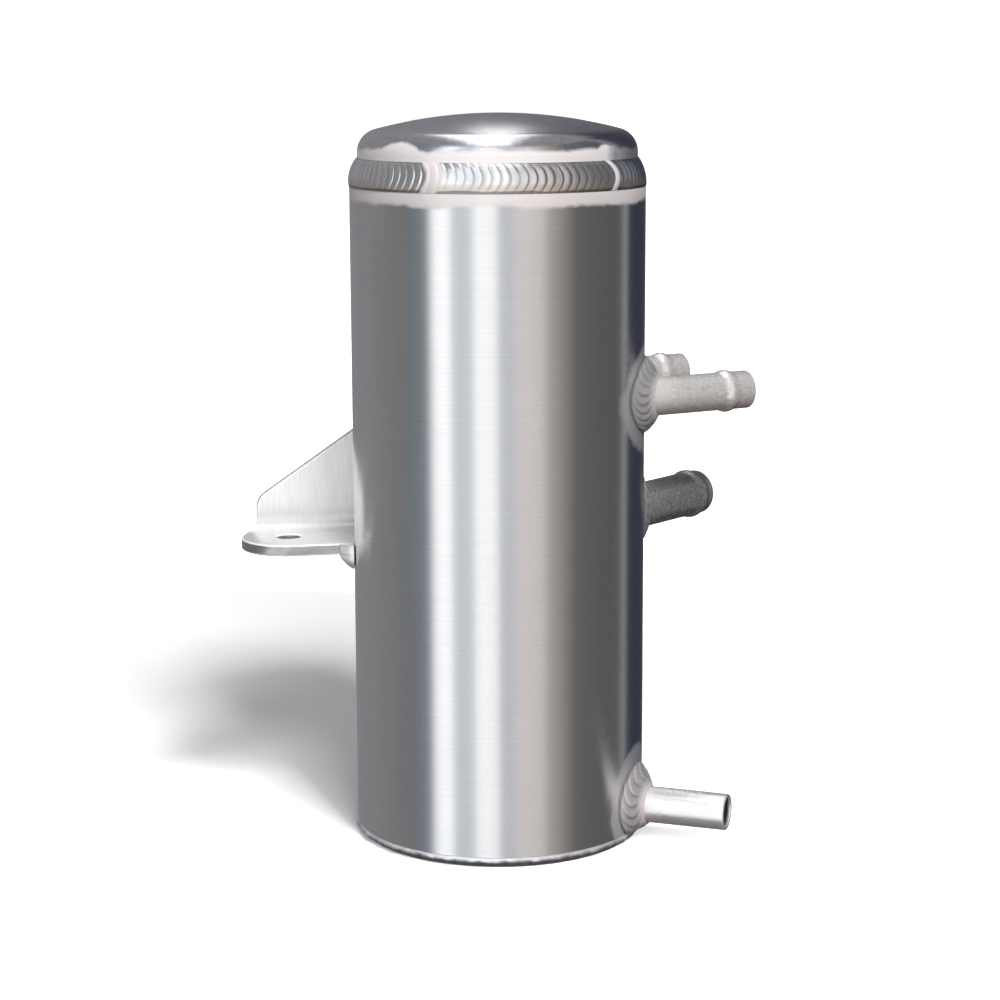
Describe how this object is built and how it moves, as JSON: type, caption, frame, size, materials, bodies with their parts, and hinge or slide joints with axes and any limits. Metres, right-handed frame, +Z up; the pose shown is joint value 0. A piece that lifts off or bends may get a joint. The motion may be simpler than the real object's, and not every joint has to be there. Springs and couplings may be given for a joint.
{
  "type": "oil catch can",
  "caption": "Welded round aluminium oil catch can with a domed cap, beaded hose spigots, a plain drain spigot and a folded side bracket.",
  "frame": {"origin": "centre of the base's underside, on the tank's axis", "axes": "+Z up along the tank's axis; -X towards the mounting bracket; spigots on the +X side"},
  "size_m": [0.1345, 0.0799, 0.1892],
  "materials": {
    "tube_aluminium": "brushed round the tube",
    "cap_aluminium": "polished",
    "plate_aluminium": "mill",
    "bracket_aluminium": "satin",
    "spigot_aluminium": "satin, slightly speckled",
    "weld_aluminium": "as welded, rippled"
  },
  "bodies": {
    "root": {"body_tube": "tube_aluminium", "domed_cap": "cap_aluminium", "base_plate": "plate_aluminium", "baffle_plate": "plate_aluminium", "mounting_bracket": "bracket_aluminium", "upper_front_spigot": "spigot_aluminium", "upper_rear_spigot": "spigot_aluminium", "middle_spigot": "spigot_aluminium", "drain_spigot": "spigot_aluminium", "cap_seam_weld": "weld_aluminium", "base_seam_weld": "weld_aluminium", "upper_front_spigot_weld": "weld_aluminium", "upper_rear_spigot_weld": "weld_aluminium", "middle_spigot_weld": "weld_aluminium", "drain_spigot_weld": "weld_aluminium", "bracket_foot_weld": "weld_aluminium", "bracket_gusset_weld": "weld_aluminium", "baffle_tack_weld_1": "weld_aluminium", "baffle_tack_weld_2": "weld_aluminium", "baffle_tack_weld_3": "weld_aluminium"}
  },
  "joints": []
}
